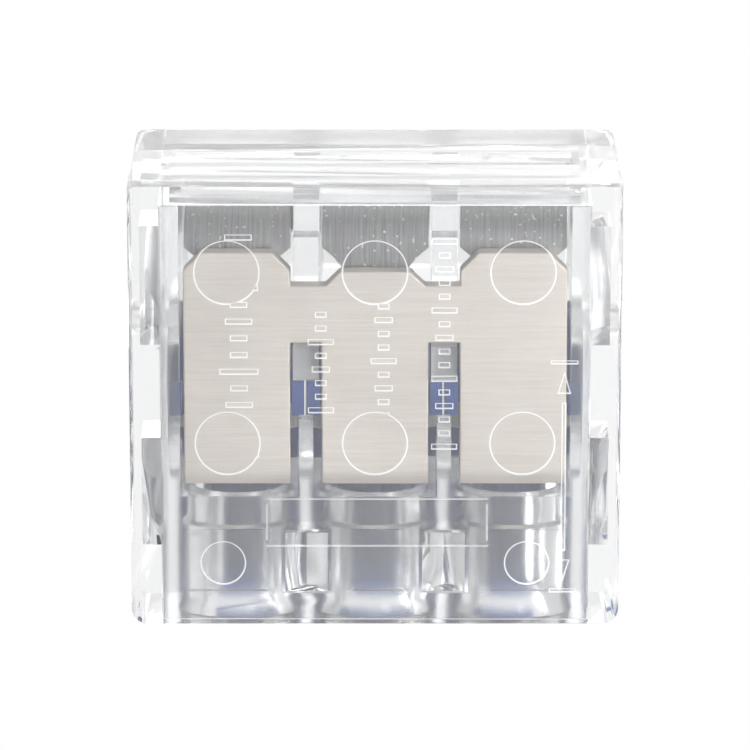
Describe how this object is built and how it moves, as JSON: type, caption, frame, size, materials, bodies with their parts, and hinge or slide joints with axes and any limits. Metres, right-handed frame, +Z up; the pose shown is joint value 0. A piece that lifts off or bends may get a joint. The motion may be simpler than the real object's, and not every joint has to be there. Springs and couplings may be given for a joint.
{
  "type": "lever wire connector",
  "caption": "Compact splice connector with round wire entries, hinged clamping levers over leaf springs, a shared metal busbar and a clear two-shell housing.",
  "frame": {"origin": "centre of the base, on the surface that the connector rests on", "axes": "+Z up through the levers; -Y is the wire entry side; X runs across the poles"},
  "size_m": [0.0188, 0.0186, 0.0083],
  "materials": {
    "clear_plastic": "clear polished polycarbonate",
    "tinned_copper": "matt tin plate with a fine rolling grain",
    "spring_steel": "rolled stainless strip",
    "lever_plastic": "satin moulded polyamide"
  },
  "bodies": {
    "housing": {"housing_cover": "clear_plastic", "housing_body": "clear_plastic", "busbar": "tinned_copper", "anchor_leg_1": "spring_steel", "anchor_leg_2": "spring_steel", "anchor_leg_3": "spring_steel"},
    "lever_1": {"lever_1": "lever_plastic"},
    "spring_leg_1": {"clamp_leg_1": "spring_steel"},
    "lever_2": {"lever_2": "lever_plastic"},
    "spring_leg_2": {"clamp_leg_2": "spring_steel"},
    "lever_3": {"lever_3": "lever_plastic"},
    "spring_leg_3": {"clamp_leg_3": "spring_steel"}
  },
  "joints": [
    {"name": "lever_1_turn", "type": "hinge", "parent": "housing", "child": "lever_1", "pos_m": [-0.0053, 0.0004, 0.0047], "axis": [-1, 0, 0], "range_deg": [0, 90]},
    {"name": "spring_leg_1_lift", "type": "hinge", "parent": "housing", "child": "spring_leg_1", "pos_m": [-0.0053, 0.0062, 0.00375], "axis": [-1, 0, 0], "range_deg": [0, 20.5]},
    {"name": "lever_2_turn", "type": "hinge", "parent": "housing", "child": "lever_2", "pos_m": [0, 0.0004, 0.0047], "axis": [-1, 0, 0], "range_deg": [0, 90]},
    {"name": "spring_leg_2_lift", "type": "hinge", "parent": "housing", "child": "spring_leg_2", "pos_m": [0, 0.0062, 0.00375], "axis": [-1, 0, 0], "range_deg": [0, 20.5]},
    {"name": "lever_3_turn", "type": "hinge", "parent": "housing", "child": "lever_3", "pos_m": [0.0053, 0.0004, 0.0047], "axis": [-1, 0, 0], "range_deg": [0, 90]},
    {"name": "spring_leg_3_lift", "type": "hinge", "parent": "housing", "child": "spring_leg_3", "pos_m": [0.0053, 0.0062, 0.00375], "axis": [-1, 0, 0], "range_deg": [0, 20.5]}
  ],
  "couplings": [
    {"joint": "spring_leg_1_lift", "follows": "lever_1_turn", "ratio": 0.22778},
    {"joint": "spring_leg_2_lift", "follows": "lever_2_turn", "ratio": 0.22778},
    {"joint": "spring_leg_3_lift", "follows": "lever_3_turn", "ratio": 0.22778}
  ]
}
